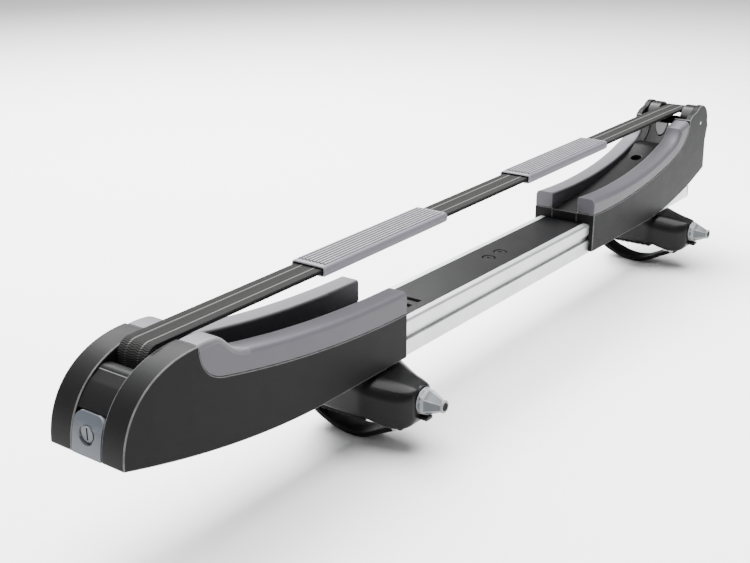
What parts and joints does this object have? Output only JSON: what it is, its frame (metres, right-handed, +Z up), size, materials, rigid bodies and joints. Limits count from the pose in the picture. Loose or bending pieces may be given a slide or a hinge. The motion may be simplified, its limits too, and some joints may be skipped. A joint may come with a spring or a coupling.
{
  "type": "roof bar board carrier",
  "caption": "Telescoping carrier for one roof load bar: padded cradles on an aluminium rail, a cam-locked strap with sleeves and knob-tightened bar clamps.",
  "frame": {"origin": "centre of the near foot's saddle underside, where it rests on the load bar", "axes": "+X along the rail from the locking nose to the far cradle, +Y away from the clamp knobs, +Z up"},
  "size_m": [0.8783, 0.12, 0.1631],
  "materials": {
    "shell_black": "satin moulded, fine grain",
    "pad_grey": "soft satin",
    "sleeve_grey": "ribbed, matte",
    "lock_grey": "satin",
    "knob_grey": "satin",
    "housing_black": "polished",
    "rubber_black": "matte, ridged",
    "rail_silver": "silver anodised",
    "steel": "zinc plated",
    "webbing": "woven polyester with two light stripes"
  },
  "bodies": {
    "base": {"base_rail": "rail_silver", "rail_cover_strip": "housing_black", "rail_end_cap": "rubber_black", "strip_screw_1": "housing_black", "strip_screw_2": "housing_black", "near_chassis": "shell_black", "near_cheek_right": "shell_black", "near_cheek_left": "shell_black", "near_pad_right": "pad_grey", "near_pad_left": "pad_grey", "near_rail_screw_1": "steel", "near_rail_screw_2": "steel", "cam_lever_pin": "steel", "guide_roller_pin": "steel", "strap": "webbing", "strap_tail_roll": "webbing", "foot_housing_near": "housing_black", "saddle_pad_near": "rubber_black", "band_pin_near": "steel", "foot_bolt_near": "steel", "track_nut_near": "steel", "foot_housing_far": "housing_black", "saddle_pad_far": "rubber_black", "band_pin_far": "steel", "foot_bolt_far": "steel", "track_nut_far": "steel"},
    "lever": {"cam_lever": "shell_black", "lock_plate": "lock_grey"},
    "lock": {"lock_barrel": "lock_grey", "lock_tongue": "steel"},
    "roller": {"guide_roller": "housing_black"},
    "sleeve_a": {"near_sleeve": "sleeve_grey"},
    "far_cradle": {"far_chassis": "shell_black", "far_cheek_right": "shell_black", "far_cheek_left": "shell_black", "far_pad_right": "pad_grey", "far_pad_left": "pad_grey", "slide_liner_right": "housing_black", "slide_liner_left": "housing_black", "clamp_screw": "steel", "yoke_pin": "steel"},
    "sleeve_b": {"far_sleeve": "sleeve_grey"},
    "yoke": {"strap_yoke": "housing_black", "strap_end_loop": "webbing"},
    "knob_near": {"knob_near": "knob_grey", "tension_bolt_near": "steel"},
    "hook_near": {"tension_hook_near": "steel"},
    "band_near": {"band_near": "rubber_black", "t_bar_near": "steel"},
    "knob_far": {"knob_far": "knob_grey", "tension_bolt_far": "steel"},
    "hook_far": {"tension_hook_far": "steel"},
    "band_far": {"band_far": "rubber_black", "t_bar_far": "steel"}
  },
  "joints": [
    {"name": "telescope", "type": "slide", "parent": "base", "child": "far_cradle", "axis": [1, 0, 0], "range_m": [0, 0.16], "deforming": ["strap"]},
    {"name": "cam_lever_hinge", "type": "hinge", "parent": "base", "child": "lever", "pos_m": [-0.2305, 0, 0.105], "axis": [0, 1, 0], "range_deg": [0, 75]},
    {"name": "lock_turn", "type": "hinge", "parent": "lever", "child": "lock", "pos_m": [-0.25, 0, 0.078], "axis": [1, 0, 0], "range_deg": [0, 90]},
    {"name": "roller_spin", "type": "hinge", "parent": "base", "child": "roller", "pos_m": [-0.21, 0, 0.1115], "axis": [0, 1, 0], "continuous": true},
    {"name": "near_sleeve_slide", "type": "slide", "parent": "base", "child": "sleeve_a", "axis": [0.9999, 0, 0.0147], "range_m": [-0.1, 0.05]},
    {"name": "far_sleeve_slide", "type": "slide", "parent": "far_cradle", "child": "sleeve_b", "axis": [0.9999, 0, 0.0147], "range_m": [-0.05, 0.1]},
    {"name": "yoke_hinge", "type": "hinge", "parent": "far_cradle", "child": "yoke", "pos_m": [0.5964, 0, 0.118], "axis": [0, 1, 0], "range_deg": [-10, 25]},
    {"name": "knob_turn_near", "type": "hinge", "parent": "base", "child": "knob_near", "pos_m": [0, -0.06, 0.017], "axis": [0, 1, 0], "range_deg": [0, 1800]},
    {"name": "hook_travel_near", "type": "slide", "parent": "base", "child": "hook_near", "axis": [0, 1, 0], "range_m": [0, 0.01]},
    {"name": "band_swing_near", "type": "hinge", "parent": "base", "child": "band_near", "pos_m": [0, 0.031, 0.009], "axis": [1, 0, 0], "range_deg": [0, 70]},
    {"name": "knob_turn_far", "type": "hinge", "parent": "base", "child": "knob_far", "pos_m": [0.5175, -0.06, 0.017], "axis": [0, 1, 0], "range_deg": [0, 1800]},
    {"name": "hook_travel_far", "type": "slide", "parent": "base", "child": "hook_far", "axis": [0, 1, 0], "range_m": [0, 0.01]},
    {"name": "band_swing_far", "type": "hinge", "parent": "base", "child": "band_far", "pos_m": [0.5175, 0.031, 0.009], "axis": [1, 0, 0], "range_deg": [0, 70]}
  ],
  "couplings": [
    {"joint": "knob_turn_near", "follows": "hook_travel_near", "rad_per_m": 3141.5},
    {"joint": "knob_turn_far", "follows": "hook_travel_far", "rad_per_m": 3141.5}
  ]
}
